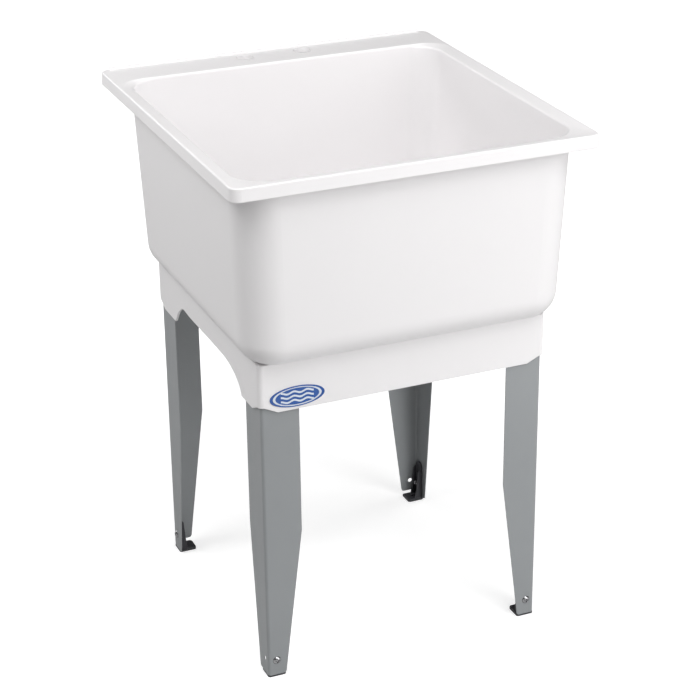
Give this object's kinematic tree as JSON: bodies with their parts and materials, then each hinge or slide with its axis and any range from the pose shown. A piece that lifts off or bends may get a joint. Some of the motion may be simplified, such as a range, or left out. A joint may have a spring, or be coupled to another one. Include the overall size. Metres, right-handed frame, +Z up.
{
  "type": "utility laundry sink",
  "caption": "Deep moulded utility sink with a rear faucet deck and an inset skirt, on pressed steel angle legs with levelling feet.",
  "frame": {"origin": "on the floor, under the centre of the rim", "axes": "+X to the right, +Y to the back (faucet deck), +Z up"},
  "size_m": [0.5858, 0.6238, 0.852],
  "materials": {
    "tub_plastic": "satin white moulded plastic",
    "leg_paint": "grey enamelled sheet steel",
    "foot_plastic": "black moulded plastic",
    "zinc": "bright zinc plate",
    "drain_plastic": "white moulded plastic",
    "strainer_steel": "brushed stainless steel",
    "gasket_rubber": "black rubber",
    "stopper_rubber": "white rubber",
    "badge": "glossy blue"
  },
  "bodies": {
    "sink": {"tub": "tub_plastic", "front_left_leg": "leg_paint", "front_left_foot_bolt": "zinc", "front_left_foot_nut": "zinc", "front_right_leg": "leg_paint", "front_right_foot_bolt": "zinc", "front_right_foot_nut": "zinc", "rear_left_leg": "leg_paint", "rear_left_foot_bolt": "zinc", "rear_left_foot_nut": "zinc", "rear_right_leg": "leg_paint", "rear_right_foot_bolt": "zinc", "rear_right_foot_nut": "zinc", "drain_body": "drain_plastic", "strainer_grid": "strainer_steel", "flange_gasket": "gasket_rubber", "lower_gasket": "gasket_rubber", "friction_washer": "drain_plastic", "drain_locknut": "drain_plastic", "tailpiece_washer": "gasket_rubber", "tailpiece": "drain_plastic", "coupling_nut": "drain_plastic", "oval_badge": "badge"},
    "front_left_leveller": {"front_left_foot": "foot_plastic"},
    "front_right_leveller": {"front_right_foot": "foot_plastic"},
    "rear_left_leveller": {"rear_left_foot": "foot_plastic"},
    "rear_right_leveller": {"rear_right_foot": "foot_plastic"},
    "plug": {"stopper": "stopper_rubber"},
    "pull_ring": {"stopper_ring": "zinc"}
  },
  "joints": [
    {"name": "front_left_level", "type": "slide", "parent": "sink", "child": "front_left_leveller", "axis": [0, 0, -1], "range_m": [0, 0.02]},
    {"name": "front_right_level", "type": "slide", "parent": "sink", "child": "front_right_leveller", "axis": [0, 0, -1], "range_m": [0, 0.02]},
    {"name": "rear_left_level", "type": "slide", "parent": "sink", "child": "rear_left_leveller", "axis": [0, 0, -1], "range_m": [0, 0.02]},
    {"name": "rear_right_level", "type": "slide", "parent": "sink", "child": "rear_right_leveller", "axis": [0, 0, -1], "range_m": [0, 0.02]},
    {"name": "stopper_lift", "type": "slide", "parent": "sink", "child": "plug", "axis": [0, 0, 1], "range_m": [0, 0.36]},
    {"name": "ring_swing", "type": "hinge", "parent": "plug", "child": "pull_ring", "pos_m": [0, -0.025, 0.5529], "axis": [1, 0, 0], "range_deg": [0, 188]}
  ]
}
